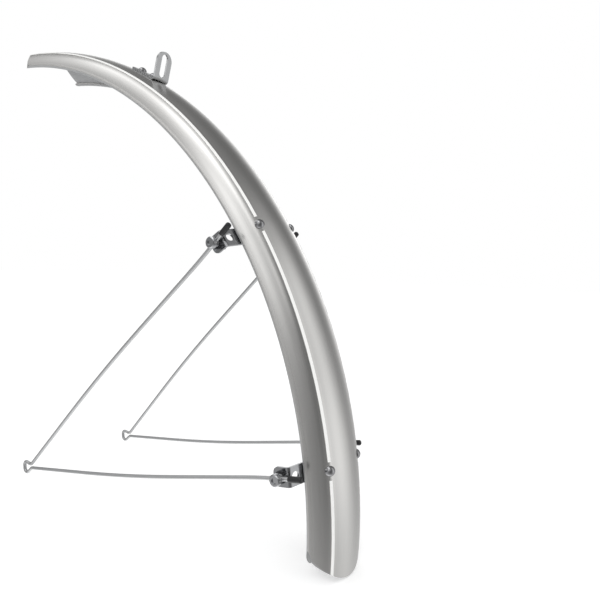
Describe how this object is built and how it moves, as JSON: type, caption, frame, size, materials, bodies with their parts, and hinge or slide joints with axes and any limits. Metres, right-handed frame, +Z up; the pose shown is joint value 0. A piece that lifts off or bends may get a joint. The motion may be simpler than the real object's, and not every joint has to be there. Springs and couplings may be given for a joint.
{
  "type": "bicycle mudguard",
  "caption": "Curved front mudguard for a bicycle: a flanged blade with a slotted fork crown bracket and V-shaped wire stays clamped in clips under the blade.",
  "frame": {"origin": "centre of the slot in the fork crown bracket's tab, in the middle of the sheet", "axes": "+X forward, +Y to the rider's left, +Z up, as the mudguard sits on the bicycle"},
  "size_m": [0.3385, 0.1026, 0.3787],
  "materials": {
    "blade_sheet": "smooth silver laminate with a satin gloss",
    "stripe": "white foil",
    "bracket_steel": "zinc-plated, satin",
    "rivet_metal": "bright",
    "bridge_steel": "bright zinc-plated",
    "bolt_metal": "bright plated",
    "washer_metal": "dark spring steel",
    "stay_wire": "drawn stainless wire",
    "cap_plastic": "black, slightly glossy"
  },
  "bodies": {
    "root": {"blade": "blade_sheet", "pinstripe_left": "stripe", "pinstripe_right": "stripe", "fork_crown_bracket": "bracket_steel", "bracket_rivet_rear": "rivet_metal", "bracket_rivet_front": "rivet_metal", "upper_bridge": "bridge_steel", "lower_bridge": "bridge_steel", "stay_left": "stay_wire", "stay_right": "stay_wire", "upper_left_rivet": "rivet_metal", "upper_left_eyebolt": "bolt_metal", "upper_left_clamp_washer": "washer_metal", "upper_left_nut": "bolt_metal", "upper_left_cap": "cap_plastic", "upper_right_rivet": "rivet_metal", "upper_right_eyebolt": "bolt_metal", "upper_right_clamp_washer": "washer_metal", "upper_right_nut": "bolt_metal", "upper_right_cap": "cap_plastic", "lower_left_rivet": "rivet_metal", "lower_left_eyebolt": "bolt_metal", "lower_left_clamp_washer": "washer_metal", "lower_left_nut": "bolt_metal", "lower_left_cap": "cap_plastic", "lower_right_rivet": "rivet_metal", "lower_right_eyebolt": "bolt_metal", "lower_right_clamp_washer": "washer_metal", "lower_right_nut": "bolt_metal", "lower_right_cap": "cap_plastic"}
  },
  "joints": []
}
